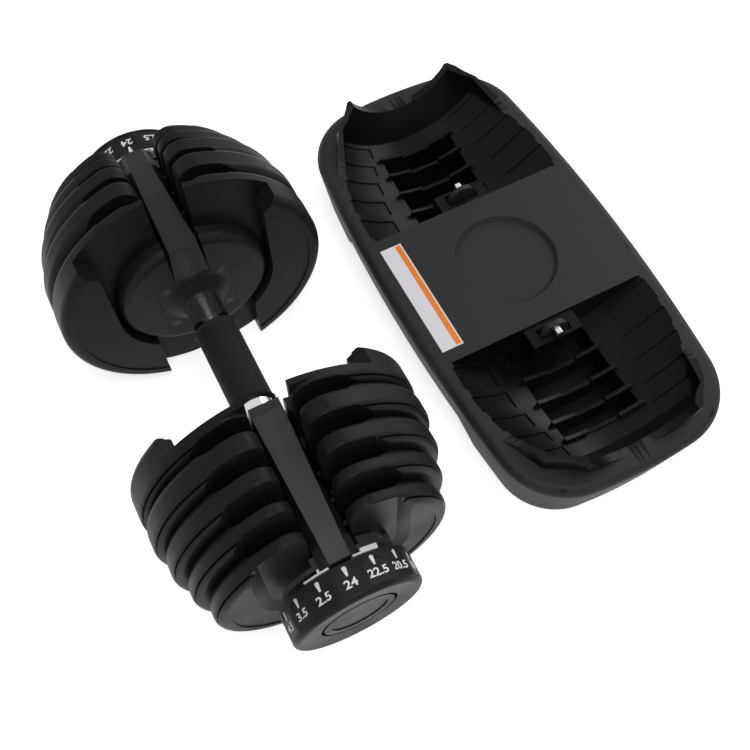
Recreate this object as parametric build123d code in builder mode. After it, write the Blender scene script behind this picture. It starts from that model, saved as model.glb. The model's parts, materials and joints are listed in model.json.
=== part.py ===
"""Adjustable dumbbell with selector dials, standing beside its storage tray.

Millimetres, +Z up, floor at z = 0. The handle runs along X. The dumbbell stands at -Y and its
tray at +Y. Each right-hand (+X) piece is modelled, and the left-hand one is the same piece turned
half round.
"""

import os
from math import cos, radians, sin, sqrt, tan

from build123d import *

os.makedirs("parts", exist_ok=True)

# Handle
GRIP_RADIUS = 15.5
GRIP_HALF_LENGTH = 35.0
GRIP_LIP_HEIGHT = 1.2
GRIP_LIP_LENGTH = 5.0
TUBE_RADIUS = 13.8
TUBE_SEAT = 4.0
AXLE_RADIUS = 6.0
AXLE_CHAMFER = 0.8
SEAT_CLEARANCE = 0.05
RUNNING_CLEARANCE = 0.3

# Weight plates, from the hub outwards
AXIS_HEIGHT = 92.0
PLATE_RISE = 7.6
PLATE_SAG = 0.5
PLATE_RADII = (101.0, 100.5, 96.5, 90.5, 83.5)
PLATE_THICKNESSES = (27.0, 21.0, 19.0, 16.0, 16.0)
PLATE_START = 64.0
PLATE_GAP = 1.0
RIM_ROUND = 6.5
FACE_BORDER = 10.0
FACE_INSET = 0.8
SLOT_HALF_WIDTH = 14.0
SLOT_CORNER = 13.0
SCOOP_RADIUS = 46.0
SCOOP_SLOPE = 10.0
SCOOP_DEPTH = 4.5
GROOVE_SETBACK = 2.2
GROOVE_WIDTH = 1.2
GROOVE_DEPTH = 5.0
HOOK_HALF_ANGLE = 8.0
HOOK_THICKNESS = 3.0
HOOK_REACH = 4.0

# Cheeks of the innermost plate, which reach round the hub
CHEEK_DEPTH = 16.0
CHEEK_ANGLE = 45.0
DOCK_GAP_HALF = 40.0
HUB_GAP = 2.5
BACK_WALL_THICKNESS = 4.0
BACK_WALL_HALF_WIDTH = 30.0
BACK_WALL_BOTTOM = 60.0

# Hub
HUB_RADIUS = 58.0
HUB_RISE = 8.0
HUB_START = 67.0
HUB_BACK_GAP = 0.5
HUB_ROUND = 7.0
COVER_SIDE = 56.0
COVER_CORNER = 4.0
COVER_THICKNESS = 2.0
COVER_CLEARANCE = 0.25
COLLAR_RADIUS = 25.0
COLLAR_LENGTH = 6.5
COLLAR_LIP = 1.5
SCREW_OFFSET = 21.5
SCREW_HEAD_RADIUS = 3.2
SCREW_HEAD_HEIGHT = 1.4
SCREW_SHANK_RADIUS = 1.6
SCREW_LENGTH = 6.5
SCREW_CLEARANCE = 0.1

# Bridge bar over the plates
BRIDGE_HALF_WIDTH = 13.0
BRIDGE_TOP_INNER = 10.5
BRIDGE_TOP_OUTER = 7.0
BRIDGE_HEIGHT_INNER = 64.5
BRIDGE_HEIGHT_OUTER = 50.0
BRIDGE_BOTTOM = 42.5
BRIDGE_LEG_DEPTH = 7.0
BRIDGE_LEG_BOTTOM = 29.0
BRIDGE_CLEARANCE = 0.3
ARM_THICKNESS = 4.0
ARM_RING_RADIUS = 18.0

# Selector stack: one disc for each plate on a six-sided sleeve
SLEEVE_CORNER_RADIUS = 10.4
SLEEVE_CLEARANCE = 0.1
DISC_RADIUS = 40.0
DISC_THICKNESS = 8.0
DISC_WEB = 3.0
DISC_BOSS_RADIUS = 15.0
DISC_SIDE_GAP = 1.0
LOBE_THICKNESS = 3.0
LOBE_GAP = 1.0
ARM_GAP = 0.5
LOCK_WHEEL_RADIUS = 25.0
LOCK_WHEEL_THICKNESS = 3.0
LOCK_WHEEL_GAP = 0.6
LOCK_NOTCH_RADIUS = 2.0
PLATE_LOADS = (7.5, 7.5, 5.0, 2.5, 1.25)
SETTING_LOADS = (0, 1.25, 2.5, 3.75, 5, 6.25, 7.5, 8.75, 10, 12.5, 15, 17.5, 20, 22.5, 23.75)

# Dial
DIAL_RADIUS = 46.0
DIAL_LENGTH = 24.0
DIAL_GAP = 1.5
DIAL_EDGE = 4.0
DIAL_DISH = 1.4
DIAL_WALL = 5.0
DIAL_FRONT = 10.0
DIAL_BOSS_RADIUS = 16.0
DIAL_BOSS_SETBACK = 1.0
CAP_RECESS_RADIUS = 27.0
CAP_RECESS_DEPTH = 4.5
CAP_RADIUS = 25.0
CAP_THICKNESS = 3.2
CAP_DISH_RADIUS = 20.0
CAP_DISH_DEPTH = 0.8
WINDOW_DEPTH = 0.8
WINDOW_HALF_WIDTH = 8.2
WINDOW_LENGTH = 19.0
WINDOW_SHOULDER = 6.0
WINDOW_CORNER = 2.5
WINDOW_MARGIN = 1.5
INDICATOR_THICKNESS = 1.0
INDICATOR_INNER = 38.0
INDICATOR_OUTER = 47.5
INDICATOR_START = 10.0
INDICATOR_SWEEP = 22.0
INDICATOR_LIP_START = 17.2
INDICATOR_LIP_SWEEP = 15.0
INDICATOR_TICK_SWEEP = 1.6
INDICATOR_LIP_HEIGHT = 2.5
INDICATOR_LIP_REACH = 2.2
NUT_CORNER_RADIUS = 10.4
NUT_THICKNESS = 4.0
NUT_POCKET_RADIUS = 12.0

# Lock pin in the hub, pushed up by the tray's latch
LOCK_SLOT_HALF_WIDTH = 20.0
LOCK_SLOT_DEPTH = 9.0
LOCK_SLOT_START = 70.0
LOCK_PIN_X = 73.0
LOCK_PIN_RADIUS = 2.5
LOCK_PIN_REACH = 10.5
LOCK_PIN_SEAT = 3.5
LOCK_SPRING_LENGTH = 8.0
LOCK_SPRING_WALL = 0.7

# Tray
TRAY_LENGTH = 406.0
TRAY_WIDTH = 205.0
TRAY_SIDE_BOW = 12.0
TRAY_END_BOW = 8.0
TRAY_CORNER = 58.0
TRAY_DRAFT = 10.0
DECK_HEIGHT = 60.0
DECK_ROUND = 7.0
TRAY_WALL = 3.5
FOOT_HEIGHT = 2.0
FOOT_RADIUS = 9.0
FOOT_X = 152.0
FOOT_Y = 62.0
FOOT_BOSS_WALL = 2.0
DOCK_HEIGHT = 28.0
DOCK_CLEARANCE = 1.5
WELL_FLARES = (20.0, 14.0, 8.0, 3.0, 0.0)
HORN_X = 181.0
HORN_RISE = 24.0
HORN_START = 135.0
HORN_WALL = 6.0
HORN_INSET = 3.0
SADDLE_RADIUS = 55.0
SADDLE_DIP = 1.0
RING_RADIUS = 42.0
RING_DEPTH = 3.5
RING_SLOPE = 3.0
TONGUE_HALF_WIDTH = 22.0
TONGUE_DROP = 2.5
TONGUE_LENGTH = 18.0
TONGUE_DEPTH = 18.0
CHANNEL_HALF_WIDTH = 34.0
RIB_THICKNESS = 3.0
RIB_RISE = 3.0
RIB_NOTCH_HALF = 14.0
RIB_NOTCH_DEPTH = 2.5
PAD_START_ANGLE = 27.0
PAD_END_ANGLE = 50.0
PAD_DEPTH = 1.2
PAD_MARGIN = 3.0
ARCH_HALF_LENGTH = 112.0
ARCH_TOP_HALF_LENGTH = 92.0
ARCH_HEIGHT = 26.0
ARCH_INNER_Y = 78.0
LABEL_LENGTH = 104.0
LABEL_WIDTH = 18.5
LABEL_THICKNESS = 0.3
LABEL_Y = -78.0

# Latch on the tray's tongue
LATCH_X = 72.5
LATCH_HALF_WIDTH = 12.0
LATCH_THICKNESS = 4.0
LATCH_RISE = 11.0
LATCH_TAIL = 5.0
LATCH_PIVOT_DROP = 10.0
LATCH_PIN_RADIUS = 2.0
LATCH_PIN_HALF_LENGTH = 20.0
LATCH_SLOT_HALF_LENGTH = 5.5
LATCH_SLOT_MARGIN = 1.5
STUD_SIDE = 5.0
STUD_LENGTH = 6.0
STUD_RISE = 2.5

# Layout on the floor
SET_SPACING = 236.0
SET_OFFSET = 7.0

# Places that follow from the sizes above
PLATES = range(len(PLATE_RADII))
PLATE_STARTS = [PLATE_START + sum(PLATE_THICKNESSES[:i]) + i * PLATE_GAP for i in PLATES]
PLATE_ENDS = [PLATE_STARTS[i] + PLATE_THICKNESSES[i] for i in PLATES]
PLATE_CENTRES = [PLATE_RISE - PLATE_SAG * (PLATE_RADII[0] - radius) for radius in PLATE_RADII]
CHEEK_END = PLATE_START + CHEEK_DEPTH
HUB_END = CHEEK_END - HUB_BACK_GAP
HUB_FOOT = HUB_RISE - HUB_RADIUS
DISC_STARTS = [end - SCOOP_DEPTH + DISC_SIDE_GAP for end in PLATE_ENDS]
HOOK_OUTER = DISC_RADIUS - LOBE_THICKNESS - LOBE_GAP
SETTING_STEP = 360 / len(SETTING_LOADS)
ARM_START = DISC_STARTS[-1] + DISC_THICKNESS + ARM_GAP
ARM_END = ARM_START + ARM_THICKNESS
DIAL_START = ARM_END + DIAL_GAP
DIAL_END = DIAL_START + DIAL_LENGTH
CAP_FLOOR = DIAL_END - CAP_RECESS_DEPTH
DIAL_CAVITY_END = DIAL_END - DIAL_FRONT
NUT_START = CAP_FLOOR - RUNNING_CLEARANCE - NUT_THICKNESS
NUT_POCKET_FLOOR = NUT_START - RUNNING_CLEARANCE
SLEEVE_END = NUT_POCKET_FLOOR - DISC_SIDE_GAP
LOCK_WHEEL_START = HUB_END - LOCK_WHEEL_THICKNESS - LOCK_WHEEL_GAP
LOCK_ROOF = HUB_FOOT + LOCK_SLOT_DEPTH
LOCK_PIN_TOP = LOCK_ROOF + LOCK_PIN_SEAT
WELL_START = PLATE_START - DOCK_CLEARANCE
WELL_RADII = [PLATE_RADII[i] + WELL_FLARES[i] + DOCK_CLEARANCE for i in PLATES]
WELL_CENTRES = [DOCK_HEIGHT + AXIS_HEIGHT + PLATE_CENTRES[i] + WELL_FLARES[i] for i in PLATES]
SADDLE_CENTRE = DECK_HEIGHT - SADDLE_DIP + SADDLE_RADIUS
TONGUE_TOP = DECK_HEIGHT - TONGUE_DROP
LATCH_PIVOT = TONGUE_TOP - LATCH_PIVOT_DROP
CHANNEL_END = PLATE_ENDS[-2]
SKIRT_INSET = (DECK_HEIGHT - FOOT_HEIGHT) * tan(radians(TRAY_DRAFT))
RIM_INSET = DECK_ROUND * (tan(radians(TRAY_DRAFT)) + 1 / cos(radians(TRAY_DRAFT)) - 1)
TRAY_Y = (SET_SPACING + PLATE_RADII[0] + RIM_INSET - TRAY_WIDTH / 2) / 2
DUMBBELL_Y = TRAY_Y - SET_SPACING
TRAY_X = (TRAY_LENGTH / 2 - RIM_INSET - SET_OFFSET - DIAL_END) / 2
DUMBBELL_X = TRAY_X + SET_OFFSET
HANDLE_AXIS = Axis((DUMBBELL_X, DUMBBELL_Y, AXIS_HEIGHT), (1, 0, 0))
FAR = 400.0


def across(x):
    """Plane square to the handle, x from its middle. Sketch x is +Y and sketch y is +Z."""
    return Plane((DUMBBELL_X + x, DUMBBELL_Y, AXIS_HEIGHT), x_dir=(0, 1, 0), z_dir=(1, 0, 0))


def spoke(angle):
    """Plane through the handle axis, turned from upright towards +Y. Sketch y points outwards."""
    turn = radians(angle)
    origin = (DUMBBELL_X, DUMBBELL_Y, AXIS_HEIGHT)
    return Plane(origin, x_dir=(1, 0, 0), z_dir=(0, -cos(turn), sin(turn)))


def tray_across(x):
    """Plane square to the tray's length, x from its middle. Sketch y is the height."""
    return Plane((TRAY_X + x, TRAY_Y, 0), x_dir=(0, 1, 0), z_dir=(1, 0, 0))


def tray_level(z):
    """Level plane at a height on the tray."""
    return Plane((TRAY_X, TRAY_Y, z))


TRAY_SIDE = Plane((TRAY_X, TRAY_Y, 0), x_dir=(1, 0, 0), z_dir=(0, -1, 0))


def save(piece, name):
    """Label a finished piece and write it."""
    piece.label = name
    export_step(piece, f"parts/{name}.step")


def save_both_ends(piece, name, middle=(DUMBBELL_X, DUMBBELL_Y)):
    """Write a right-hand piece, and the same piece turned half round at the left-hand end."""
    save(piece, f"right_{name}")
    save(piece.rotate(Axis((*middle, 0), (0, 0, 1)), 180), f"left_{name}")


def channel(radius, centre=0.0):
    """A channel that is round below and open upwards, for the current sketch."""
    with Locations((0, centre)):
        Circle(radius)
        Rectangle(2 * radius, FAR, align=(Align.CENTER, Align.MIN))


def ring_arc(start_angle, sweep, x0, x1, inner, outer):
    """A piece of ring about the handle axis, for the current part."""
    with BuildSketch(spoke(start_angle + sweep)) as section:
        with Locations((x0, inner)):
            Rectangle(x1 - x0, outer - inner, align=(Align.MIN, Align.MIN))
    revolve(section.sketch, axis=HANDLE_AXIS, revolution_arc=sweep)


def make_handle():
    """Steel axle, plated tube and rubber grip with a lip at each end."""
    with BuildPart() as axle:
        with BuildSketch(across(0)):
            Circle(AXLE_RADIUS)
        extrude(amount=CAP_FLOOR - RUNNING_CLEARANCE, both=True)
        chamfer(axle.edges().filter_by(GeomType.CIRCLE), AXLE_CHAMFER)
    save(axle.part, "axle")

    with BuildPart() as tube:
        with BuildSketch(across(0)):
            Circle(TUBE_RADIUS)
            Circle(AXLE_RADIUS + SEAT_CLEARANCE, mode=Mode.SUBTRACT)
        extrude(amount=HUB_START + TUBE_SEAT, both=True)
    save(tube.part, "handle_tube")

    inner = TUBE_RADIUS + SEAT_CLEARANCE
    lip = GRIP_RADIUS + GRIP_LIP_HEIGHT
    neck = GRIP_HALF_LENGTH - GRIP_LIP_LENGTH
    with BuildPart() as grip:
        with BuildSketch(spoke(0)):
            with BuildLine():
                Polyline((0, GRIP_RADIUS), (0, inner), (GRIP_HALF_LENGTH, inner), (GRIP_HALF_LENGTH, lip))
                Spline((GRIP_HALF_LENGTH, lip), (neck, GRIP_RADIUS), tangents=((-1, -1), (-1, 0)))
                Line((neck, GRIP_RADIUS), (0, GRIP_RADIUS))
            make_face()
        revolve(axis=HANDLE_AXIS)
        mirror(about=across(0))
    save(grip.part, "rubber_grip")


def make_plate(index):
    """Weight plate with rounded rim, handle slot, inset faces, disc scoops and a lifting hook."""
    radius, centre = PLATE_RADII[index], PLATE_CENTRES[index]
    start, end = PLATE_STARTS[index], PLATE_ENDS[index]
    with BuildPart() as plate:
        with BuildSketch(across(start)) as outline:
            with Locations((0, centre)):
                Circle(radius)
            with Locations((0, 0)):
                Circle(SLOT_HALF_WIDTH, mode=Mode.SUBTRACT)
                Rectangle(2 * SLOT_HALF_WIDTH, FAR, align=(Align.CENTER, Align.MIN), mode=Mode.SUBTRACT)
            fillet(outline.vertices().group_by(Axis.Y)[-1], SLOT_CORNER)
        extrude(amount=end - start)
        fillet(plate.faces().filter_by(Axis.X).edges(), RIM_ROUND)
        for face, inward in ((start, 1), (end, -1)):
            with BuildSketch(across(face)):
                with Locations((0, centre)):
                    Circle(radius - FACE_BORDER)
            extrude(amount=inward * FACE_INSET, mode=Mode.SUBTRACT)
        with BuildSketch(across(end - GROOVE_SETBACK)):
            with Locations((0, centre)):
                Circle(radius + GROOVE_DEPTH)
                Circle(radius - GROOVE_DEPTH, mode=Mode.SUBTRACT)
        extrude(amount=-GROOVE_WIDTH, mode=Mode.SUBTRACT)
        with BuildSketch(Plane.XY):
            Rectangle(2 * FAR, 2 * FAR)
        extrude(amount=-FAR, mode=Mode.SUBTRACT)
        if index == 0:
            cut_cheeks(centre)
            add_back_wall(radius, centre)
        else:
            add(scoop(start, 1), mode=Mode.SUBTRACT)
        add(scoop(end, -1), mode=Mode.SUBTRACT)
        floor = end - SCOOP_DEPTH
        hook_start = 180 - HOOK_HALF_ANGLE
        ring_arc(hook_start, 2 * HOOK_HALF_ANGLE, floor, floor + HOOK_REACH,
                 HOOK_OUTER - HOOK_THICKNESS, HOOK_OUTER)
    save_both_ends(plate.part, f"plate_{index + 1}")


def cut_cheeks(centre):
    """Clear the hub, the top and the docking gap from the inner face of the current plate."""
    spread = tan(radians(CHEEK_ANGLE))
    with BuildSketch(across(PLATE_START)) as clearing:
        channel(HUB_RADIUS + HUB_GAP, HUB_RISE)
        with BuildLine():
            Polyline((0, centre), (FAR * spread, centre + FAR), (-FAR * spread, centre + FAR), close=True)
        make_face()
        Rectangle(2 * DOCK_GAP_HALF, FAR, align=(Align.CENTER, Align.MAX))
    extrude(clearing.sketch, amount=CHEEK_DEPTH, mode=Mode.SUBTRACT)


def add_back_wall(radius, centre):
    """Carry the inner face of the current plate up to the bridge, without the slot's round corners."""
    with BuildSketch(across(CHEEK_END)) as wall:
        with Locations((0, centre)):
            Circle(radius)
        with Locations((0, BACK_WALL_BOTTOM)):
            Rectangle(2 * BACK_WALL_HALF_WIDTH, FAR, align=(Align.CENTER, Align.MIN), mode=Mode.INTERSECT)
            Rectangle(2 * SLOT_HALF_WIDTH, FAR, align=(Align.CENTER, Align.MIN), mode=Mode.SUBTRACT)
    extrude(wall.sketch, amount=BACK_WALL_THICKNESS)


def scoop(face, inward):
    """Recess with sloping sides for a selector disc, cut inwards from one face of a plate."""
    with BuildPart() as cut:
        with BuildSketch(across(face)):
            channel(SCOOP_RADIUS + SCOOP_SLOPE)
        with BuildSketch(across(face + inward * SCOOP_DEPTH)):
            channel(SCOOP_RADIUS)
        loft(ruled=True)
    return cut.part


def make_hub():
    """Hub disc with seats for the tube, cover, bridge leg, lock wheel and lock pin."""
    with BuildPart() as hub:
        with BuildSketch(across(HUB_START)):
            with Locations((0, HUB_RISE)):
                Circle(HUB_RADIUS)
        extrude(amount=HUB_END - HUB_START)
        fillet(hub.edges().group_by(Axis.X)[0], HUB_ROUND)
        with BuildSketch(across(HUB_START)):
            RectangleRounded(COVER_SIDE + 2 * COVER_CLEARANCE, COVER_SIDE + 2 * COVER_CLEARANCE,
                             COVER_CORNER)
        extrude(amount=COVER_THICKNESS, mode=Mode.SUBTRACT)
        with BuildSketch(across(HUB_START)):
            Circle(TUBE_RADIUS + SEAT_CLEARANCE)
        extrude(amount=FAR, mode=Mode.SUBTRACT)
        with BuildSketch(across(HUB_END)):
            Circle(LOCK_WHEEL_RADIUS + LOCK_WHEEL_GAP)
        extrude(amount=LOCK_WHEEL_START - LOCK_WHEEL_GAP - HUB_END, mode=Mode.SUBTRACT)
        with BuildSketch(across(HUB_START)):
            with Locations((0, BRIDGE_LEG_BOTTOM - BRIDGE_CLEARANCE)):
                Rectangle(2 * (BRIDGE_HALF_WIDTH + BRIDGE_CLEARANCE), FAR, align=(Align.CENTER, Align.MIN))
        extrude(amount=HUB_END - HUB_START, mode=Mode.SUBTRACT)
        with BuildSketch(across(HUB_END)):
            with Locations((0, LOCK_ROOF)):
                Rectangle(2 * LOCK_SLOT_HALF_WIDTH, FAR, align=(Align.CENTER, Align.MAX))
        extrude(amount=LOCK_SLOT_START - HUB_END, mode=Mode.SUBTRACT)
        with BuildSketch(lock_level(LOCK_ROOF)):
            Circle(LOCK_PIN_RADIUS + RUNNING_CLEARANCE)
        extrude(amount=LOCK_PIN_SEAT + LOCK_SPRING_LENGTH, mode=Mode.SUBTRACT)
        with BuildSketch(across(HUB_START)):
            with GridLocations(2 * SCREW_OFFSET, 2 * SCREW_OFFSET, 2, 2):
                Circle(SCREW_SHANK_RADIUS + SCREW_CLEARANCE)
        extrude(amount=SCREW_LENGTH + SCREW_CLEARANCE, mode=Mode.SUBTRACT)
    save_both_ends(hub.part, "hub")


def lock_level(z):
    """Level plane on the lock pin's axis, z from the handle axis."""
    return Plane((DUMBBELL_X + LOCK_PIN_X, DUMBBELL_Y, AXIS_HEIGHT + z))


def make_hub_cover():
    """Cover let into the hub, with a cone that closes round the tube, and its four screws."""
    with BuildPart() as cover:
        with BuildSketch(across(HUB_START)):
            RectangleRounded(COVER_SIDE, COVER_SIDE, COVER_CORNER)
        extrude(amount=COVER_THICKNESS)
        with BuildSketch(spoke(0)):
            with BuildLine():
                Polyline((HUB_START, 0), (HUB_START, COLLAR_RADIUS),
                         (HUB_START - COLLAR_LENGTH, TUBE_RADIUS + COLLAR_LIP),
                         (HUB_START - COLLAR_LENGTH, 0), close=True)
            make_face()
        revolve(axis=HANDLE_AXIS)
        with BuildSketch(across(HUB_START)):
            Circle(TUBE_RADIUS + SEAT_CLEARANCE)
        extrude(amount=FAR, both=True, mode=Mode.SUBTRACT)
        with BuildSketch(across(HUB_START)):
            with GridLocations(2 * SCREW_OFFSET, 2 * SCREW_OFFSET, 2, 2):
                Circle(SCREW_HEAD_RADIUS + SCREW_CLEARANCE)
        extrude(amount=SCREW_HEAD_HEIGHT, mode=Mode.SUBTRACT)
        with BuildSketch(across(HUB_START)):
            with GridLocations(2 * SCREW_OFFSET, 2 * SCREW_OFFSET, 2, 2):
                Circle(SCREW_SHANK_RADIUS + SCREW_CLEARANCE)
        extrude(amount=COVER_THICKNESS, mode=Mode.SUBTRACT)
    save_both_ends(cover.part, "hub_cover")

    with BuildPart() as screws:
        with BuildSketch(across(HUB_START)):
            with GridLocations(2 * SCREW_OFFSET, 2 * SCREW_OFFSET, 2, 2):
                Circle(SCREW_HEAD_RADIUS)
        extrude(amount=SCREW_HEAD_HEIGHT)
        with BuildSketch(across(HUB_START)):
            with GridLocations(2 * SCREW_OFFSET, 2 * SCREW_OFFSET, 2, 2):
                Circle(SCREW_SHANK_RADIUS)
        extrude(amount=SCREW_LENGTH)
    save_both_ends(screws.part, "hub_screws")


def bridge_section(top_half_width, bottom, top):
    """Bar section with leaning sides, for the current sketch."""
    with BuildLine() as section:
        Polyline((-BRIDGE_HALF_WIDTH, bottom), (BRIDGE_HALF_WIDTH, bottom), (top_half_width, top),
                 (-top_half_width, top), close=True)
    make_face(section.edges())


def make_bridge():
    """Bar over the plates: a leg folded into the hub, and an arm that carries the sleeve's end."""
    leg_end = HUB_START + BRIDGE_LEG_DEPTH
    with BuildPart() as bridge:
        with BuildSketch(across(leg_end)):
            bridge_section(BRIDGE_TOP_INNER, BRIDGE_BOTTOM, BRIDGE_HEIGHT_INNER)
        with BuildSketch(across(ARM_END)):
            bridge_section(BRIDGE_TOP_OUTER, BRIDGE_BOTTOM, BRIDGE_HEIGHT_OUTER)
        loft()
        with BuildSketch(across(HUB_START)):
            bridge_section(BRIDGE_TOP_INNER, BRIDGE_LEG_BOTTOM, BRIDGE_HEIGHT_INNER)
        extrude(amount=BRIDGE_LEG_DEPTH)
        with BuildSketch(across(ARM_START)):
            Circle(ARM_RING_RADIUS)
            Rectangle(2 * BRIDGE_HALF_WIDTH, BRIDGE_BOTTOM, align=(Align.CENTER, Align.MIN))
            Circle(SLEEVE_CORNER_RADIUS + RUNNING_CLEARANCE, mode=Mode.SUBTRACT)
        extrude(amount=ARM_THICKNESS)
    save_both_ends(bridge.part, "bridge")

    lip_inner = INDICATOR_OUTER - INDICATOR_LIP_HEIGHT
    with BuildPart() as indicator:
        for start_angle in (INDICATOR_START, -INDICATOR_START - INDICATOR_SWEEP):
            ring_arc(start_angle, INDICATOR_SWEEP, ARM_END, ARM_END + INDICATOR_THICKNESS,
                     INDICATOR_INNER, INDICATOR_OUTER)
        ring_arc(INDICATOR_LIP_START, INDICATOR_LIP_SWEEP, ARM_END - INDICATOR_LIP_REACH,
                 ARM_END + INDICATOR_THICKNESS, lip_inner, INDICATOR_OUTER)
        ring_arc(-INDICATOR_LIP_START - INDICATOR_TICK_SWEEP, INDICATOR_TICK_SWEEP,
                 ARM_END - INDICATOR_LIP_REACH, ARM_END + INDICATOR_THICKNESS, lip_inner, INDICATOR_OUTER)
    save_both_ends(indicator.part, "indicator")


def lifting_runs(index):
    """Runs of dial settings, as [first, last], at which a plate is hooked on, heaviest first."""
    runs = []
    for number, load in enumerate(SETTING_LOADS):
        for plate in range(index + 1):
            taken = load >= PLATE_LOADS[plate]
            if taken:
                load -= PLATE_LOADS[plate]
        if taken and runs and runs[-1][1] == number - 1:
            runs[-1][1] = number
        elif taken:
            runs.append([number, number])
    return runs


def setting_fan(first, last):
    """Fan that lies under the axis while the dial passes a run of settings, for the current sketch."""
    points = [(0, 0)]
    for edge in range(last - first + 2):
        turn = radians(180 + (len(SETTING_LOADS) - 1.5 - last + edge) * SETTING_STEP)
        points.append((2 * DISC_RADIUS * sin(turn), 2 * DISC_RADIUS * cos(turn)))
    with BuildLine() as fan:
        Polyline(*points, close=True)
    make_face(fan.edges())


def make_selector():
    """Six-sided sleeve, a lobed disc for each plate, and the notched lock wheel."""
    with BuildPart() as sleeve:
        with BuildSketch(across(LOCK_WHEEL_START)):
            RegularPolygon(SLEEVE_CORNER_RADIUS, 6)
            Circle(AXLE_RADIUS + RUNNING_CLEARANCE, mode=Mode.SUBTRACT)
        extrude(amount=SLEEVE_END - LOCK_WHEEL_START)
    save_both_ends(sleeve.part, "selector_sleeve")

    for index in PLATES:
        start = DISC_STARTS[index]
        web = start + DISC_THICKNESS - DISC_WEB
        with BuildPart() as disc:
            with BuildSketch(across(web)):
                Circle(DISC_RADIUS)
            extrude(amount=DISC_WEB)
            with BuildSketch(across(start)):
                Circle(DISC_BOSS_RADIUS)
            extrude(amount=DISC_THICKNESS)
            with BuildSketch(across(start)):
                for first, last in lifting_runs(index):
                    setting_fan(first, last)
                Circle(DISC_RADIUS, mode=Mode.INTERSECT)
                Circle(DISC_RADIUS - LOBE_THICKNESS, mode=Mode.SUBTRACT)
            extrude(amount=DISC_THICKNESS - DISC_WEB)
            with BuildSketch(across(start)):
                RegularPolygon(SLEEVE_CORNER_RADIUS + SLEEVE_CLEARANCE, 6)
            extrude(amount=DISC_THICKNESS, mode=Mode.SUBTRACT)
        save_both_ends(disc.part, f"selector_disc_{index + 1}")

    with BuildPart() as wheel:
        with BuildSketch(across(LOCK_WHEEL_START)):
            Circle(LOCK_WHEEL_RADIUS)
            RegularPolygon(SLEEVE_CORNER_RADIUS + SLEEVE_CLEARANCE, 6, mode=Mode.SUBTRACT)
            with PolarLocations(LOCK_WHEEL_RADIUS, len(SETTING_LOADS)):
                Circle(LOCK_NOTCH_RADIUS, mode=Mode.SUBTRACT)
        extrude(amount=LOCK_WHEEL_THICKNESS)
    save_both_ends(wheel.part, "lock_wheel")


def make_dial():
    """Number dial with flat windows round its rim, its cap and the nut that holds it on."""
    with BuildPart() as dial:
        with BuildSketch(spoke(0)):
            with BuildLine():
                Polyline((DIAL_START, 0), (DIAL_START, DIAL_RADIUS), (DIAL_END - DIAL_EDGE, DIAL_RADIUS))
                RadiusArc((DIAL_END - DIAL_EDGE, DIAL_RADIUS), (DIAL_END, DIAL_RADIUS - DIAL_EDGE), DIAL_EDGE)
                Polyline((DIAL_END, DIAL_RADIUS - DIAL_EDGE), (DIAL_END - DIAL_DISH, CAP_RECESS_RADIUS),
                         (DIAL_END - DIAL_DISH, 0), (DIAL_START, 0))
            make_face()
        revolve(axis=HANDLE_AXIS)
        with BuildSketch(across(DIAL_START)):
            Circle(DIAL_RADIUS - DIAL_WALL)
        extrude(amount=DIAL_CAVITY_END - DIAL_START, mode=Mode.SUBTRACT)
        with BuildSketch(across(DIAL_START + DIAL_BOSS_SETBACK)):
            Circle(DIAL_BOSS_RADIUS)
        extrude(amount=DIAL_CAVITY_END - DIAL_START - DIAL_BOSS_SETBACK)
        with BuildSketch(across(DIAL_END)):
            Circle(CAP_RECESS_RADIUS)
        extrude(amount=-CAP_RECESS_DEPTH, mode=Mode.SUBTRACT)
        with BuildSketch(across(DIAL_END)):
            Circle(NUT_POCKET_RADIUS)
        extrude(amount=NUT_POCKET_FLOOR - DIAL_END, mode=Mode.SUBTRACT)
        with BuildSketch(across(DIAL_START)):
            Circle(AXLE_RADIUS + RUNNING_CLEARANCE)
        extrude(amount=DIAL_LENGTH, mode=Mode.SUBTRACT)
        with BuildSketch(across(DIAL_START)):
            RegularPolygon(SLEEVE_CORNER_RADIUS + SLEEVE_CLEARANCE, 6)
        extrude(amount=SLEEVE_END - DIAL_START, mode=Mode.SUBTRACT)
        for number in range(len(SETTING_LOADS)):
            with BuildSketch(window_plane(number * SETTING_STEP)):
                window_outline()
            extrude(amount=DIAL_EDGE, mode=Mode.SUBTRACT)
    save_both_ends(dial.part, "dial")

    with BuildPart() as cap:
        with BuildSketch(across(CAP_FLOOR)):
            Circle(CAP_RADIUS)
        extrude(amount=CAP_THICKNESS)
        with BuildSketch(across(CAP_FLOOR + CAP_THICKNESS)):
            Circle(CAP_DISH_RADIUS)
        extrude(amount=-CAP_DISH_DEPTH, mode=Mode.SUBTRACT)
    save_both_ends(cap.part, "dial_cap")

    with BuildPart() as nut:
        with BuildSketch(across(NUT_START)):
            RegularPolygon(NUT_CORNER_RADIUS, 6)
            Circle(AXLE_RADIUS + SEAT_CLEARANCE, mode=Mode.SUBTRACT)
        extrude(amount=NUT_THICKNESS)
    save_both_ends(nut.part, "axle_nut")


def window_plane(angle):
    """Plane of a dial window. Sketch x runs outwards along the handle, sketch y round the rim."""
    turn = radians(angle)
    out = (0, sin(turn), cos(turn))
    depth = DIAL_RADIUS - WINDOW_DEPTH
    origin = (DUMBBELL_X + DIAL_START + WINDOW_MARGIN, DUMBBELL_Y + depth * out[1], AXIS_HEIGHT + depth * out[2])
    return Plane(origin, x_dir=(1, 0, 0), z_dir=out)


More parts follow.
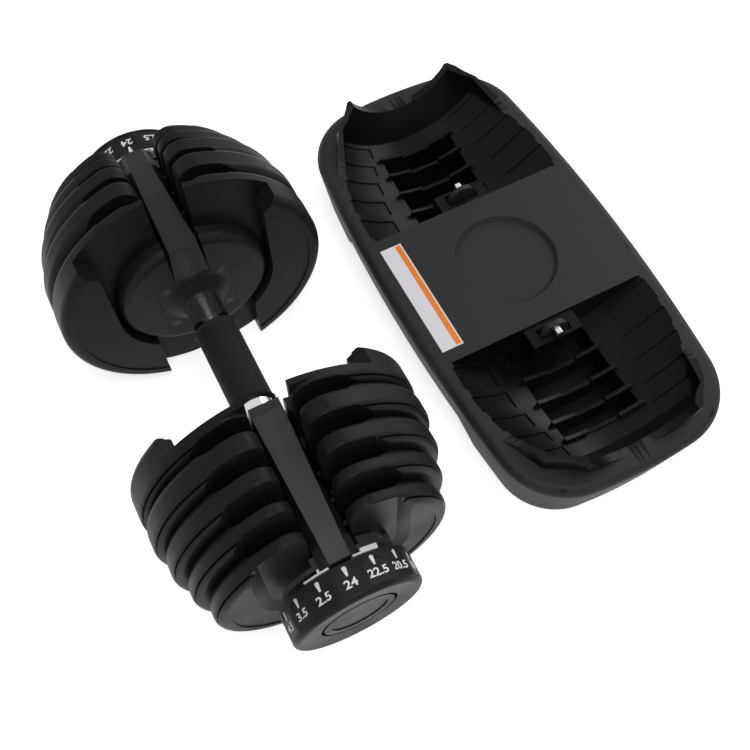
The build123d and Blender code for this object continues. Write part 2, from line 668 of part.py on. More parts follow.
def window_outline():
    """Shield with its point towards the plates, for the current sketch."""
    half = WINDOW_HALF_WIDTH
    with BuildLine() as shield:
        point = Polyline((WINDOW_SHOULDER, -half), (0, 0), (WINDOW_SHOULDER, half))
        straight = WINDOW_LENGTH - WINDOW_CORNER
        Line(point @ 1, (straight, half))
        RadiusArc((straight, half), (WINDOW_LENGTH, half - WINDOW_CORNER), WINDOW_CORNER)
        Line((WINDOW_LENGTH, half - WINDOW_CORNER), (WINDOW_LENGTH, WINDOW_CORNER - half))
        RadiusArc((WINDOW_LENGTH, WINDOW_CORNER - half), (straight, -half), WINDOW_CORNER)
        Line((straight, -half), point @ 0)
    make_face(shield.edges())


def make_lock():
    """Spring pin in the slot under the hub."""
    with BuildPart() as pin:
        with BuildSketch(lock_level(LOCK_ROOF - LOCK_PIN_REACH)):
            Circle(LOCK_PIN_RADIUS)
        extrude(amount=LOCK_PIN_REACH + LOCK_PIN_SEAT)
    save_both_ends(pin.part, "lock_pin")

    with BuildPart() as spring:
        with BuildSketch(lock_level(LOCK_PIN_TOP)):
            Circle(LOCK_PIN_RADIUS)
            Circle(LOCK_PIN_RADIUS - LOCK_SPRING_WALL, mode=Mode.SUBTRACT)
        extrude(amount=LOCK_SPRING_LENGTH)
    save_both_ends(spring.part, "lock_spring")


def tray_outline(inset=0.0):
    """Tray outline with bowed sides and ends and round corners, for the current sketch."""
    end, side = TRAY_LENGTH / 2 - inset, TRAY_WIDTH / 2 - inset
    corner_x, corner_y = end - TRAY_END_BOW, side - TRAY_SIDE_BOW
    with BuildLine() as outline:
        ThreePointArc((-corner_x, -corner_y), (0, -side), (corner_x, -corner_y))
        ThreePointArc((corner_x, -corner_y), (end, 0), (corner_x, corner_y))
        ThreePointArc((corner_x, corner_y), (0, side), (-corner_x, corner_y))
        ThreePointArc((-corner_x, corner_y), (-end, 0), (-corner_x, -corner_y))
        fillet(outline.vertices(), TRAY_CORNER - inset)
    make_face(outline.edges())


def well_form(margin):
    """The space that the docked plates and dial need in one well, grown by a margin."""
    sections = [(WELL_START - margin, WELL_RADII[0], WELL_CENTRES[0])]
    sections += [(PLATE_ENDS[i] + PLATE_GAP / 2, WELL_RADII[i], WELL_CENTRES[i]) for i in PLATES]
    with BuildPart() as form:
        for x, radius, centre in sections:
            with BuildSketch(tray_across(x)):
                with Locations((0, centre)):
                    Circle(radius + margin)
        with BuildSketch(tray_across(HORN_X + margin)):
            with Locations((0, SADDLE_CENTRE)):
                Circle(SADDLE_RADIUS + margin)
        loft(ruled=True)
    return form.part


def horn_wall():
    """Wall round the outer part of one well, which rises to the horns at the end."""
    rise_end = HORN_X + HORN_WALL
    with BuildPart() as wall:
        with BuildSketch(TRAY_SIDE):
            with BuildLine():
                Polyline((HORN_START, DECK_HEIGHT - DECK_ROUND), (HORN_START, DECK_HEIGHT),
                         (HORN_X, DECK_HEIGHT + HORN_RISE), (rise_end, DECK_HEIGHT + HORN_RISE),
                         (rise_end, DECK_HEIGHT - DECK_ROUND), close=True)
            make_face()
        extrude(amount=TRAY_WIDTH, both=True)
        add(well_form(HORN_WALL), mode=Mode.INTERSECT)
        with BuildSketch(tray_level(0)):
            tray_outline(HORN_INSET)
        extrude(amount=FAR, mode=Mode.INTERSECT)
    return wall.part


def pad_recesses():
    """Shallow pads on the walls of one well, one on each side for each plate."""
    with BuildPart() as pads:
        for index in PLATES:
            centre = WELL_CENTRES[index]
            width = PLATE_THICKNESSES[index] - 2 * PAD_MARGIN
            with BuildSketch(tray_across(PLATE_STARTS[index] + PAD_MARGIN)):
                for side in (-1, 1):
                    edges = [(side * FAR * sin(radians(turn)), centre - FAR * cos(radians(turn)))
                             for turn in (PAD_START_ANGLE, PAD_END_ANGLE)]
                    with BuildLine():
                        Polyline((0, centre), *edges, close=True)
                    make_face()
            extrude(amount=width)
        add(well_form(PAD_DEPTH), mode=Mode.INTERSECT)
    return pads.part


def tray_hollow():
    """The space under the tray's walls, clear of wells, channels, tongues and foot bosses."""
    with BuildPart() as hollow:
        with BuildSketch(tray_level(0)):
            tray_outline(SKIRT_INSET + TRAY_WALL + DECK_ROUND / 2)
        with BuildSketch(tray_level(DECK_HEIGHT - TRAY_WALL)):
            tray_outline(TRAY_WALL + DECK_ROUND / 2)
        loft(ruled=True)
        well = well_form(TRAY_WALL)
        add(well, mode=Mode.SUBTRACT)
        add(mirror(well, about=Plane.YZ.offset(TRAY_X), mode=Mode.PRIVATE), mode=Mode.SUBTRACT)
        inner = WELL_START - TRAY_WALL
        for side in (Align.MIN, Align.MAX):
            sign = 1 if side == Align.MIN else -1
            with BuildSketch(tray_level(0)):
                with Locations((sign * inner, 0)):
                    Rectangle(CHANNEL_END + TRAY_WALL - inner, 2 * (CHANNEL_HALF_WIDTH + TRAY_WALL),
                              align=(side, Align.CENTER))
            extrude(amount=DECK_HEIGHT, mode=Mode.SUBTRACT)
        with BuildSketch(tray_level(0)):
            with GridLocations(2 * FOOT_X, 2 * FOOT_Y, 2, 2):
                Circle(FOOT_RADIUS + FOOT_BOSS_WALL)
        extrude(amount=DECK_HEIGHT, mode=Mode.SUBTRACT)
        with BuildSketch(tray_level(DECK_HEIGHT - RING_DEPTH - TRAY_WALL)):
            Circle(RING_RADIUS + TRAY_WALL)
        extrude(amount=RING_DEPTH + TRAY_WALL, mode=Mode.SUBTRACT)
    return hollow.part


def well_fittings():
    """Tongue with the latch slot, and the cross ribs of one well's channel."""
    with BuildPart() as fittings:
        with BuildSketch(tray_level(TONGUE_TOP)):
            with Locations((WELL_START - TRAY_WALL, 0)):
                Rectangle(TONGUE_LENGTH + TRAY_WALL, 2 * TONGUE_HALF_WIDTH, align=(Align.MIN, Align.CENTER))
            with Locations((LATCH_X, 0)):
                Rectangle(2 * LATCH_SLOT_HALF_LENGTH, 2 * (LATCH_HALF_WIDTH + LATCH_SLOT_MARGIN),
                          mode=Mode.SUBTRACT)
        extrude(amount=-TONGUE_DEPTH)
        with BuildSketch(Plane((TRAY_X + LATCH_X, TRAY_Y, LATCH_PIVOT), x_dir=(1, 0, 0), z_dir=(0, 1, 0))):
            Circle(LATCH_PIN_RADIUS + SEAT_CLEARANCE)
        extrude(amount=LATCH_PIN_HALF_LENGTH, both=True, mode=Mode.SUBTRACT)
        for index in PLATES[:-1]:
            radius = PLATE_RADII[index]
            centre = DOCK_HEIGHT + AXIS_HEIGHT + PLATE_CENTRES[index]
            dip = centre - sqrt((radius - RIB_RISE) ** 2 - CHANNEL_HALF_WIDTH ** 2)
            low = centre - radius + RIB_RISE
            half = CHANNEL_HALF_WIDTH + TRAY_WALL / 2
            notch = low - RIB_NOTCH_DEPTH
            with BuildSketch(tray_across(PLATE_ENDS[index] + PLATE_GAP / 2 - RIB_THICKNESS / 2)):
                with BuildLine():
                    ThreePointArc((-half, dip), (0, low), (half, dip))
                    Polyline((half, dip), (half, FOOT_HEIGHT), (-half, FOOT_HEIGHT), (-half, dip))
                make_face()
                with Locations((0, notch)):
                    Rectangle(2 * RIB_NOTCH_HALF, FAR, align=(Align.CENTER, Align.MIN), mode=Mode.SUBTRACT)
            extrude(amount=RIB_THICKNESS)
    return fittings.part


def add_both_ends(piece, mode=Mode.ADD):
    """Join or cut a right-hand form of the tray and its mirror image, for the current part."""
    add(piece, mode=mode)
    add(mirror(piece, about=Plane.YZ.offset(TRAY_X), mode=Mode.PRIVATE), mode=mode)


def make_tray():
    """Moulded tray with two wells, its rubber feet and a plain label."""
    wall, well, pads, fittings = horn_wall(), well_form(0), pad_recesses(), well_fittings()
    hollow = tray_hollow()
    with BuildPart() as tray:
        with BuildSketch(tray_level(FOOT_HEIGHT)):
            tray_outline(SKIRT_INSET)
        extrude(amount=DECK_HEIGHT - FOOT_HEIGHT, taper=-TRAY_DRAFT)
        fillet(tray.faces().sort_by(Axis.Z)[-1].edges(), DECK_ROUND)
        add_both_ends(wall)
        add_both_ends(well, Mode.SUBTRACT)
        for direction in (1, -1):
            with BuildSketch(tray_across(direction * HORN_X)):
                with Locations((0, SADDLE_CENTRE)):
                    Circle(SADDLE_RADIUS)
            extrude(amount=direction * TRAY_LENGTH, mode=Mode.SUBTRACT)
        add(hollow, mode=Mode.SUBTRACT)
        with BuildSketch(tray_level(FOOT_HEIGHT + TRAY_WALL)):
            for direction in (1, -1):
                with Locations((direction * (WELL_START + CHANNEL_END) / 2, 0)):
                    Rectangle(CHANNEL_END - WELL_START, 2 * CHANNEL_HALF_WIDTH)
        extrude(amount=DECK_HEIGHT, mode=Mode.SUBTRACT)
        add_both_ends(pads, Mode.SUBTRACT)
        add_both_ends(fittings)
        with BuildSketch(tray_level(DECK_HEIGHT)):
            Circle(RING_RADIUS)
        with BuildSketch(tray_level(DECK_HEIGHT - RING_DEPTH)):
            Circle(RING_RADIUS - RING_SLOPE)
        loft(mode=Mode.SUBTRACT)
        for direction in (1, -1):
            with BuildSketch(TRAY_SIDE.offset(direction * ARCH_INNER_Y)):
                with BuildLine():
                    Polyline((-ARCH_HALF_LENGTH, 0), (-ARCH_TOP_HALF_LENGTH, ARCH_HEIGHT),
                             (ARCH_TOP_HALF_LENGTH, ARCH_HEIGHT), (ARCH_HALF_LENGTH, 0), close=True)
                make_face()
            extrude(amount=direction * TRAY_WIDTH, mode=Mode.SUBTRACT)
    save(tray.part, "tray")

    with BuildPart() as feet:
        with BuildSketch(tray_level(0)):
            with GridLocations(2 * FOOT_X, 2 * FOOT_Y, 2, 2):
                Circle(FOOT_RADIUS)
        extrude(amount=FOOT_HEIGHT)
    save(feet.part, "tray_feet")

    with BuildPart() as label:
        with BuildSketch(tray_level(DECK_HEIGHT)):
            with Locations((0, LABEL_Y)):
                Rectangle(LABEL_LENGTH, LABEL_WIDTH)
        extrude(amount=LABEL_THICKNESS)
    save(label.part, "tray_label")


def make_latch():
    """Half-round rocker on a pin through the tongue, with a plated stud in its face."""
    top = LATCH_PIVOT_DROP + LATCH_RISE
    pivot = (TRAY_X + LATCH_X, TRAY_Y, LATCH_PIVOT)
    face = LATCH_THICKNESS / 2
    with BuildPart() as latch:
        with BuildSketch(Plane(pivot, x_dir=(0, 1, 0), z_dir=(1, 0, 0))):
            with BuildLine():
                shoulder = LATCH_PIVOT_DROP - LATCH_SLOT_MARGIN
                ThreePointArc((-LATCH_HALF_WIDTH, shoulder), (0, top), (LATCH_HALF_WIDTH, shoulder))
                Polyline((LATCH_HALF_WIDTH, shoulder), (LATCH_HALF_WIDTH, -LATCH_TAIL),
                         (-LATCH_HALF_WIDTH, -LATCH_TAIL), (-LATCH_HALF_WIDTH, shoulder))
            make_face()
        extrude(amount=face, both=True)
        with BuildSketch(Plane(pivot, x_dir=(1, 0, 0), z_dir=(0, 1, 0))):
            Circle(LATCH_TAIL)
        extrude(amount=LATCH_HALF_WIDTH, both=True)
        with BuildSketch(Plane(pivot, x_dir=(1, 0, 0), z_dir=(0, 1, 0))):
            Circle(LATCH_PIN_RADIUS + RUNNING_CLEARANCE / 3)
        extrude(amount=LATCH_HALF_WIDTH, both=True, mode=Mode.SUBTRACT)
    save_both_ends(latch.part, "latch", (TRAY_X, TRAY_Y))

    with BuildPart() as pin:
        with BuildSketch(Plane(pivot, x_dir=(1, 0, 0), z_dir=(0, 1, 0))):
            Circle(LATCH_PIN_RADIUS)
        extrude(amount=LATCH_PIN_HALF_LENGTH, both=True)
    save_both_ends(pin.part, "latch_pin", (TRAY_X, TRAY_Y))

    with BuildPart() as stud:
        with BuildSketch(tray_across(LATCH_X + face)):
            with Locations((0, TONGUE_TOP + STUD_RISE)):
                RectangleRounded(STUD_SIDE, STUD_SIDE, STUD_SIDE / 5, align=(Align.CENTER, Align.MIN))
        extrude(amount=STUD_LENGTH)
    save_both_ends(stud.part, "latch_stud", (TRAY_X, TRAY_Y))


make_handle()
for plate_index in PLATES:
    make_plate(plate_index)
make_hub()
make_hub_cover()
make_bridge()
make_selector()
make_dial()
make_lock()
make_tray()
make_latch()
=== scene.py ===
"""Dresses the adjustable dumbbell and its storage tray: finishes, dial numbers, floor, light and camera."""
import json
from math import copysign, cos, radians, sin

import bmesh
import bpy
from mathutils import Matrix, Vector


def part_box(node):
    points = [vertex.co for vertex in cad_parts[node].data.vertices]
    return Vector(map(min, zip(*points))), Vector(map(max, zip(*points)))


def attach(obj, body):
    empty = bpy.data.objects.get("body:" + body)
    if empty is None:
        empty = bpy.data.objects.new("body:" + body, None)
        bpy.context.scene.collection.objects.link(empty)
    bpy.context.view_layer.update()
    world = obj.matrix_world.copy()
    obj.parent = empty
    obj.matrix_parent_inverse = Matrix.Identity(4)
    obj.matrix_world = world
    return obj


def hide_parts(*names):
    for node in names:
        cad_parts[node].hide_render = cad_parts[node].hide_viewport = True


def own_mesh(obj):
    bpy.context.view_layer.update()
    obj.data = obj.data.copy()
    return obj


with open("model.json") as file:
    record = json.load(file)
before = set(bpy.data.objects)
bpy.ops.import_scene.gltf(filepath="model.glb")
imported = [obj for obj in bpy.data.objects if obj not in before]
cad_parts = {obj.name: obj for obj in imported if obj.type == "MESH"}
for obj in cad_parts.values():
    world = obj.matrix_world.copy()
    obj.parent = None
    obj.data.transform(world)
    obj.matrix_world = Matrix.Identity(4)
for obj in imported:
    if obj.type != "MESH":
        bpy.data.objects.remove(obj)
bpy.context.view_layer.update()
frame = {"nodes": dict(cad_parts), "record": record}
NODES = frame["nodes"]

MM = 0.001
SIDES = ("left", "right")
MERGE_GAP = 0.001 * MM
CUT_GAP = 0.0001 * MM

# The dial: fifteen settings in kilograms, one on each flat window
SETTINGS = (
    "2.5", "3.5", "4.5", "5.5", "6.5", "8", "9", "10", "11.5", "13.5", "16", "18", "20.5", "22.5", "24")
PITCH = 360 / len(SETTINGS)
WINDOW_APOTHEM = 45.2 * MM
DIGIT_HEIGHT = 5.5 * MM
DIGIT_WIDENING = 1.18
DIGIT_BOLDNESS = 0.022
DIGIT_CENTRE = 13.0 * MM
PRINT_THICKNESS = 0.12 * MM
WEDGE_START = 1.9 * MM
WEDGE_LENGTH = 6.4 * MM
WEDGE_WIDE = 3.4 * MM
WEDGE_NARROW = 1.3 * MM

# The tray's horns lean in over the wells above the deck, and the wells are moulded smoother than the deck
# and painted darker as shade
DECK_HEIGHT = 60.0 * MM
HORN_CUTS = (60.0 * MM, 64.0 * MM, 69.0 * MM, 75.0 * MM)
HORN_TIP = 45.0 * MM
HORN_LEAN = 0.55
WELL_START = 62.0 * MM
WELL_END = 190.0 * MM
WELL_HALF_WIDTH = 95.0 * MM
WELL_NARROWING = 0.22
SADDLE_START = 180.0 * MM
SADDLE_HALF_WIDTH = 16.0 * MM
SMOOTH_ANGLE = 32

# How far a face's normal points up: flat to the eye, flat enough to be deck, and turned down like the skirt
LEVEL_NORMAL = 0.9999
DECK_NORMAL = 0.9
SKIRT_NORMAL = -0.02
DECK_TOLERANCE = 0.5 * MM

# The sticker on the deck
STICKER_MARGIN = 1.2 * MM
STICKER_BAND = 4.6 * MM
PAPER_FIBRE = 1.5 * MM

# The part of a finish's noise over which its patches fade from dark to light
PATCH_LOW = 0.3
PATCH_HIGH = 0.7

# The stage, in metres, and how bright the floor and the sky are to the camera and to the rest
FLOOR_HALF_WIDTH = 20.0
FLOOR_GLOW = 0.7
SKY_FILL = 0.2
SKY_SEEN = 1.0
CAMERA_PLACE = (0.3327, -0.1685, 0.699)
CAMERA_TARGET = (0.0568, -0.0315, 0.0935)
CAMERA_ROLL = 0.99
CAMERA_SENSOR_MM = 36
CAMERA_LENS_MM = 45.54


def linear(hex_colour):
    """An sRGB hex colour as linear RGBA."""
    channels = [int(hex_colour[i:i + 2], 16) / 255 for i in (1, 3, 5)]
    return [c / 12.92 if c <= 0.04045 else ((c + 0.055) / 1.055) ** 2.4 for c in channels] + [1.0]


def add_node(tree, kind, inputs=None, **settings):
    """One node with its settings; an input is a value, or the output that feeds it."""
    node = tree.nodes.new(kind)
    for name, value in settings.items():
        setattr(node, name, value)
    for socket, value in (inputs or {}).items():
        if isinstance(value, bpy.types.NodeSocket):
            tree.links.new(value, node.inputs[socket])
        else:
            node.inputs[socket].default_value = value
    return node


def blank_material(name):
    """A new material and its empty node tree."""
    material = bpy.data.materials.new(name)
    material.use_nodes = True
    material.node_tree.nodes.clear()
    return material, material.node_tree


def surface(name, dark, light, roughness, patch_mm, grain_mm, relief_mm,
            metallic=0.0, specular=0.5, stretch=(1, 1, 1)):
    """A finish with soft patches of wear in colour and gloss, and a fine relief over it."""
    material, tree = blank_material(name)
    place = add_node(tree, "ShaderNodeTexCoord").outputs["Object"]
    drawn = add_node(tree, "ShaderNodeMapping", {"Vector": place, "Scale": stretch}).outputs["Vector"]
    patch = add_node(tree, "ShaderNodeTexNoise", {
        "Vector": place, "Scale": 1 / (patch_mm * MM), "Detail": 4.0})
    grain = add_node(tree, "ShaderNodeTexNoise", {
        "Vector": drawn, "Scale": 1 / (grain_mm * MM), "Detail": 2.0})
    colour = add_node(tree, "ShaderNodeValToRGB", {"Fac": patch.outputs["Fac"]})
    colour.color_ramp.elements[0].position = PATCH_LOW
    colour.color_ramp.elements[0].color = linear(dark)
    colour.color_ramp.elements[1].position = PATCH_HIGH
    colour.color_ramp.elements[1].color = linear(light)
    gloss = add_node(tree, "ShaderNodeMapRange", {
        "Value": patch.outputs["Fac"], "From Min": PATCH_LOW, "From Max": PATCH_HIGH,
        "To Min": roughness[0], "To Max": roughness[1]})
    relief = add_node(tree, "ShaderNodeBump", {
        "Height": grain.outputs["Fac"], "Strength": 1.0, "Distance": relief_mm * MM})
    shader = add_node(tree, "ShaderNodeBsdfPrincipled", {
        "Base Color": colour.outputs["Color"], "Roughness": gloss.outputs["Result"],
        "Normal": relief.outputs["Normal"], "Metallic": metallic, "Specular IOR Level": specular})
    add_node(tree, "ShaderNodeOutputMaterial", {"Surface": shader.outputs["BSDF"]})
    return material


def sticker_paper(low, high):
    """Coated white paper with a printed orange band along one long side."""
    material, tree = blank_material("coated sticker paper")
    place = add_node(tree, "ShaderNodeTexCoord").outputs["Object"]
    axes = add_node(tree, "ShaderNodeSeparateXYZ", {"Vector": place})
    band_y = high[1] - STICKER_MARGIN - STICKER_BAND / 2
    across = add_node(tree, "ShaderNodeMath", {
        0: axes.outputs["Y"], 1: band_y, 2: STICKER_BAND / 2}, operation="COMPARE")
    middle_x = (low[0] + high[0]) / 2
    half_length = (high[0] - low[0]) / 2 - STICKER_MARGIN
    along = add_node(tree, "ShaderNodeMath", {
        0: axes.outputs["X"], 1: middle_x, 2: half_length}, operation="COMPARE")
    band = add_node(tree, "ShaderNodeMath", {
        0: across.outputs["Value"], 1: along.outputs["Value"]}, operation="MULTIPLY")
    fibre = add_node(tree, "ShaderNodeTexNoise", {"Vector": place, "Scale": 1 / PAPER_FIBRE, "Detail": 3.0})
    paper = add_node(tree, "ShaderNodeMix", {
        "Factor": fibre.outputs["Fac"], "A": linear("#dcdadf"), "B": linear("#ebe9ee")}, data_type="RGBA")
    printed = add_node(tree, "ShaderNodeMix", {
        "Factor": band.outputs["Value"], "A": paper.outputs["Result"],
        "B": linear("#ee7f1d")}, data_type="RGBA")
    shader = add_node(tree, "ShaderNodeBsdfPrincipled", {
        "Base Color": printed.outputs["Result"], "Roughness": 0.45})
    add_node(tree, "ShaderNodeOutputMaterial", {"Surface": shader.outputs["BSDF"]})
    return material


# Some specular levels are below the usual 0.5, so that the blacks stay deep beside the white floor

# Powder coat over cast iron: deep black, with a soft sheen and a faint orange-peel
COATED_IRON = surface(
    "satin powder coat on iron", "#161617", "#1d1d1e", (0.36, 0.48), 40, 1.6, 0.03, specular=0.08)
# Black painted steel of the bars over the plates, a little browner and drier
COATED_STEEL = surface(
    "satin black paint on steel", "#1a1817", "#211f1e", (0.4, 0.52), 30, 1.2, 0.03, specular=0.25)
# Moulded ABS with a spark-eroded grain; the grain is drawn at 1.1 mm, twice its size, so that it shows
TRAY_ABS = surface("grained ABS", "#1d1e1f", "#242526", (0.5, 0.62), 60, 1.1, 0.16, specular=0.2)
# The same ABS from the polished faces of the mould, in the wells: faint, sharper reflections, and a colour
# darker than the deck's that is painted shade in the recesses
SHADED_WELL_ABS = surface("polished ABS with painted shade", "#0c0c0d", "#111112", (0.28, 0.38), 45, 0.9, 0.02, specular=0.1)
# Smooth moulded ABS of the hubs and dials, with a soft shine
SMOOTH_ABS = surface("smooth moulded ABS", "#19191a", "#202021", (0.36, 0.48), 25, 0.9, 0.03, specular=0.1)
# Glass-filled nylon of the hidden selector pieces
NYLON = surface("glass-filled nylon", "#1b1b1b", "#262626", (0.5, 0.65), 15, 0.8, 0.05)
# Moulded rubber: almost no shine
RUBBER = surface("moulded rubber", "#0f0f0f", "#161616", (0.6, 0.75), 20, 0.7, 0.06, specular=0.18)
# Polished chromium plate: the patches are faint wipe marks
CHROME = surface("chromium plate", "#c9c9c9", "#d6d6d4", (0.06, 0.12), 12, 3.0, 0.004, metallic=1.0)
# Black-oxide steel of the screws, dull and slightly oily
BLACK_OXIDE = surface("black-oxide steel", "#1c1c1d", "#29292a", (0.4, 0.55), 4, 0.5, 0.01, metallic=0.6)
# Zinc-plated steel, brushed by rolling
ZINC = surface(
    "zinc-plated steel", "#b9b9b4", "#cfcfca", (0.25, 0.4), 6, 0.5, 0.02, metallic=1.0, stretch=(1, 1, 4))
# White moulded ABS of the setting marks
WHITE_ABS = surface("white moulded ABS", "#d8d8d6", "#e6e6e4", (0.4, 0.5), 8, 0.6, 0.02)
# White pad-printed ink, matt and slightly uneven
WHITE_INK = surface("pad-printed white ink", "#dadad8", "#efefed", (0.5, 0.65), 3, 0.4, 0.01)
STICKER = sticker_paper(*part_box("tray_label"))

FINISHES = {
    "coated_iron": COATED_IRON,
    "satin_steel": COATED_STEEL,
    "zinc_steel": ZINC,
    "chrome_steel": CHROME,
    "black_rubber": RUBBER,
    "hub_plastic": SMOOTH_ABS,
    "dial_plastic": SMOOTH_ABS,
    "disc_plastic": NYLON,
    "white_plastic": WHITE_ABS,
    "tray_plastic": TRAY_ABS,
    "label_paper": STICKER,
}
for part in frame["record"]["subparts"]:
    mesh = NODES[part["node"]].data
    mesh.materials.clear()
    finish = BLACK_OXIDE if part["node"].endswith("hub_screws") else FINISHES[part["material_slot"]]
    mesh.materials.append(finish)


def new_piece(name, shape, material, body):
    """A finished bmesh as a piece of the object that moves with a body."""
    bmesh.ops.remove_doubles(shape, verts=shape.verts[:], dist=MERGE_GAP)
    bmesh.ops.recalc_face_normals(shape, faces=shape.faces[:])
    mesh = bpy.data.meshes.new(name)
    shape.to_mesh(mesh)
    shape.free()
    mesh.materials.append(material)
    piece = bpy.data.objects.new(name, mesh)
    bpy.context.scene.collection.objects.link(piece)
    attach(piece, body)
    return piece


def number_mesh(words):
    """One dial number as a flat raised mesh, centred on its own origin."""
    curve = bpy.data.curves.new("number " + words, "FONT")
    curve.body = words
    curve.align_x = "CENTER"
    curve.align_y = "CENTER"
    curve.size = 1.0
    curve.offset = DIGIT_BOLDNESS
    curve.extrude = 0.5
    curve.resolution_u = 3
    holder = bpy.data.objects.new(curve.name, curve)
    bpy.context.scene.collection.objects.link(holder)
    mesh = bpy.data.meshes.new_from_object(holder.evaluated_get(bpy.context.evaluated_depsgraph_get()))
    bpy.data.objects.remove(holder)
    bpy.data.curves.remove(curve)
    tall = [v.co.y for v in mesh.vertices]
    wide = [v.co.x for v in mesh.vertices]
    scale = DIGIT_HEIGHT / (max(tall) - min(tall))
    middle = Vector(((max(wide) + min(wide)) / 2, (max(tall) + min(tall)) / 2, 0))
    stretch = Matrix.Diagonal((scale * DIGIT_WIDENING, scale, PRINT_THICKNESS, 1))
    mesh.transform(stretch @ Matrix.Translation(-middle))
    return mesh


def window_frame(side, index):
    """Turns an upright print (x right, y up, z out) on to a window; y starts at the dial's back rim."""
    low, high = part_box(side + "_dial")
    outward = 1 if side == "right" else -1
    rim = low[0] if side == "right" else high[0]
    angle = radians(PITCH * (len(SETTINGS) - 1 - index)) * outward
    normal = Vector((0, sin(angle), cos(angle)))
    up = Vector((-outward, 0, 0))
    right = up.cross(normal)
    axis = Vector((rim, (low[1] + high[1]) / 2, (low[2] + high[2]) / 2))
    turn = Matrix((right, up, normal)).transposed().to_4x4()
    return Matrix.Translation(axis + normal * WINDOW_APOTHEM) @ turn


def print_dial(side):
    """The numbers of one dial and the wedge over each of them."""
    print_shape = bmesh.new()
    for index, words in enumerate(SETTINGS):
        place = window_frame(side, index)
        number = number_mesh(words)
        number.transform(place @ Matrix.Translation((0, -DIGIT_CENTRE, 0)))
        print_shape.from_mesh(number)
        bpy.data.meshes.remove(number)
        wedge = bmesh.ops.create_cube(print_shape, size=1)["verts"]
        bmesh.ops.scale(print_shape, verts=wedge, vec=(WEDGE_WIDE, WEDGE_LENGTH, PRINT_THICKNESS))
        tip = [v for v in wedge if v.co.y < 0]
        bmesh.ops.scale(print_shape, verts=tip, vec=(WEDGE_NARROW / WEDGE_WIDE, 1, 1))
        bmesh.ops.translate(print_shape, verts=wedge, vec=(0, -WEDGE_START - WEDGE_LENGTH / 2, 0))
        bmesh.ops.transform(print_shape, matrix=place, verts=wedge)
    new_piece(side + "_dial_print", print_shape, WHITE_INK, side + "_dial_unit")


for side in SIDES:
    print_dial(side)


def in_a_well(centre, normal, middle):
    """True for a face of a well or a horn, and not of the deck or the skirt."""
    along = abs(centre.x - middle.x)
    across = abs(centre.y - middle.y)
    if not WELL_START < along < WELL_END:
        return False
    if across > WELL_HALF_WIDTH - WELL_NARROWING * (along - WELL_START):
        return False
    if centre.z < DECK_HEIGHT and normal.z < SKIRT_NORMAL:
        return False
    on_deck = abs(centre.z - DECK_HEIGHT) < DECK_TOLERANCE and normal.z > DECK_NORMAL
    return not on_deck


def mould_tray():
    """The tray with horns that lean in over the wells; those of its solid stand upright."""
    low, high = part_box("tray")
    middle = Vector([(a + b) / 2 for a, b in zip(low, high)])
    shape = bmesh.new()
    shape.from_mesh(NODES["tray"].data)
    bmesh.ops.remove_doubles(shape, verts=shape.verts[:], dist=MERGE_GAP)
    for height in HORN_CUTS:
        everything = shape.verts[:] + shape.edges[:] + shape.faces[:]
        bmesh.ops.bisect_plane(
            shape, geom=everything, dist=CUT_GAP, plane_co=(0, 0, height), plane_no=(0, 0, 1))
    for vert in shape.verts:
        rise = max(0.0, vert.co.z - DECK_HEIGHT) / (high[2] - DECK_HEIGHT)
        away = max(0.0, abs(vert.co.y - middle.y) - HORN_TIP)
        vert.co.y -= copysign(away * HORN_LEAN * rise, vert.co.y - middle.y)
    shape.normal_update()
    for face in shape.faces:
        centre = face.calc_center_median()
        along = abs(centre.x - middle.x)
        across = abs(centre.y - middle.y)
        face.smooth = along <= SADDLE_START or across >= SADDLE_HALF_WIDTH
        # Faces of the wells and horns take the second material, whose darker colour is painted shade
        face.material_index = int(in_a_well(centre, face.normal, middle))
    for edge in shape.edges:
        level = [face.normal.z > LEVEL_NORMAL for face in edge.link_faces]
        edge.smooth = all(level) == any(level) and edge.calc_face_angle(0.0) < radians(SMOOTH_ANGLE)
    tray = new_piece("moulded_tray", shape, TRAY_ABS, "tray")
    tray.data.materials.append(SHADED_WELL_ABS)
    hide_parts("tray")


def seat_spring(side):
    """The spring over one lock pin, a plain tube as in its solid."""
    shape = bmesh.new()
    shape.from_mesh(NODES[side + "_lock_spring"].data)
    spring = new_piece(side + "_lock_coil", shape, ZINC, "handle")
    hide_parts(side + "_lock_spring")
    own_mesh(spring)


mould_tray()
for side in SIDES:
    seat_spring(side)


def seen_rays(tree):
    """One for what the camera sees, straight, mirrored or through something; nought for the rest."""
    path = add_node(tree, "ShaderNodeLightPath")
    straight_or_mirrored = add_node(tree, "ShaderNodeMath", {
        0: path.outputs["Is Camera Ray"], 1: path.outputs["Is Glossy Ray"]}, operation="MAXIMUM")
    seen = add_node(tree, "ShaderNodeMath", {
        0: straight_or_mirrored.outputs["Value"],
        1: path.outputs["Is Transmission Ray"]}, operation="MAXIMUM")
    return seen.outputs["Value"]


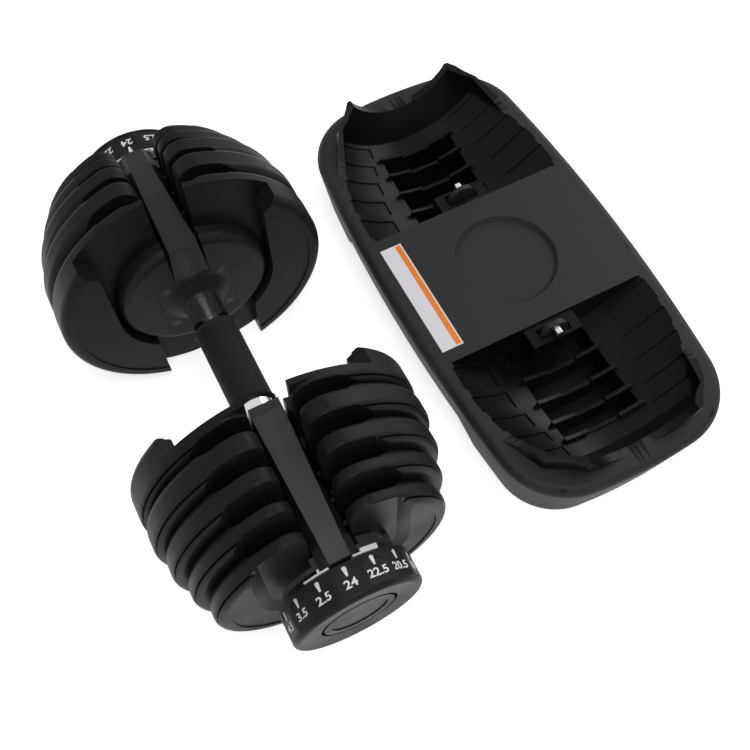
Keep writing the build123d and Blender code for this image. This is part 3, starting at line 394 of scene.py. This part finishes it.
def lay_floor():
    """A plain pale floor, far wider than the object."""
    shape = bmesh.new()
    bmesh.ops.create_grid(shape, x_segments=1, y_segments=1, size=FLOOR_HALF_WIDTH)
    mesh = bpy.data.meshes.new("floor")
    shape.to_mesh(mesh)
    shape.free()
    material, tree = blank_material("pale floor")
    paint = add_node(tree, "ShaderNodeBsdfDiffuse", {"Color": linear("#f3f3f2"), "Roughness": 0.9})
    lift = add_node(tree, "ShaderNodeMath", {0: seen_rays(tree), 1: FLOOR_GLOW}, operation="MULTIPLY")
    backing = add_node(tree, "ShaderNodeEmission", {
        "Color": linear("#ffffff"), "Strength": lift.outputs["Value"]})
    both = add_node(tree, "ShaderNodeAddShader", {0: paint.outputs["BSDF"], 1: backing.outputs["Emission"]})
    add_node(tree, "ShaderNodeOutputMaterial", {"Surface": both.outputs["Shader"]})
    mesh.materials.append(material)
    floor = bpy.data.objects.new("floor", mesh)
    bpy.context.scene.collection.objects.link(floor)


def hang_lamp(name, place, target, size, power):
    """A square softbox that faces its target."""
    lamp = bpy.data.lights.new(name, "AREA")
    lamp.shape = "SQUARE"
    lamp.size = size
    lamp.energy = power
    holder = bpy.data.objects.new(name, lamp)
    holder.location = place
    holder.rotation_euler = (Vector(target) - Vector(place)).to_track_quat("-Z", "Y").to_euler()
    bpy.context.scene.collection.objects.link(holder)


def light_sky():
    """A white sky that lights the object less than it shows."""
    world = bpy.data.worlds.new("studio")
    world.use_nodes = True
    tree = world.node_tree
    sky = tree.nodes["Background"]
    sky.inputs["Color"].default_value = linear("#ffffff")
    strength = add_node(tree, "ShaderNodeMapRange", {
        "Value": seen_rays(tree), "To Min": SKY_FILL, "To Max": SKY_SEEN})
    tree.links.new(strength.outputs["Result"], sky.inputs["Strength"])
    bpy.context.scene.world = world


def set_camera():
    """The photograph's view: from above the near dial, looking down along the handle."""
    place = Vector(CAMERA_PLACE)
    target = Vector(CAMERA_TARGET)
    roll = radians(CAMERA_ROLL)
    camera = bpy.data.cameras.new("camera")
    camera.sensor_width = CAMERA_SENSOR_MM
    camera.lens = CAMERA_LENS_MM
    camera.clip_start = 0.01
    holder = bpy.data.objects.new("camera", camera)
    bpy.context.scene.collection.objects.link(holder)
    ahead = (target - place).normalized()
    right = ahead.cross(Vector((0, 0, 1))).normalized()
    down = ahead.cross(right)
    rolled_right = right * cos(roll) + down * sin(roll)
    rolled_down = down * cos(roll) - right * sin(roll)
    turn = Matrix((rolled_right, -rolled_down, -ahead)).transposed().to_4x4()
    holder.matrix_world = Matrix.Translation(place) @ turn
    bpy.context.scene.camera = holder


lay_floor()
hang_lamp("overhead softbox", place=(0.5, 0.0, 1.9), target=(0, 0, 0), size=1.2, power=18)
hang_lamp("side softbox", place=(-0.6, 1.7, 1.0), target=(0, 0, 0.05), size=1.0, power=14)
hang_lamp("front softbox", place=(1.7, -0.6, 0.8), target=(0, 0, 0.05), size=1.0, power=2)
light_sky()
bpy.context.scene.view_settings.view_transform = "Standard"
set_camera()
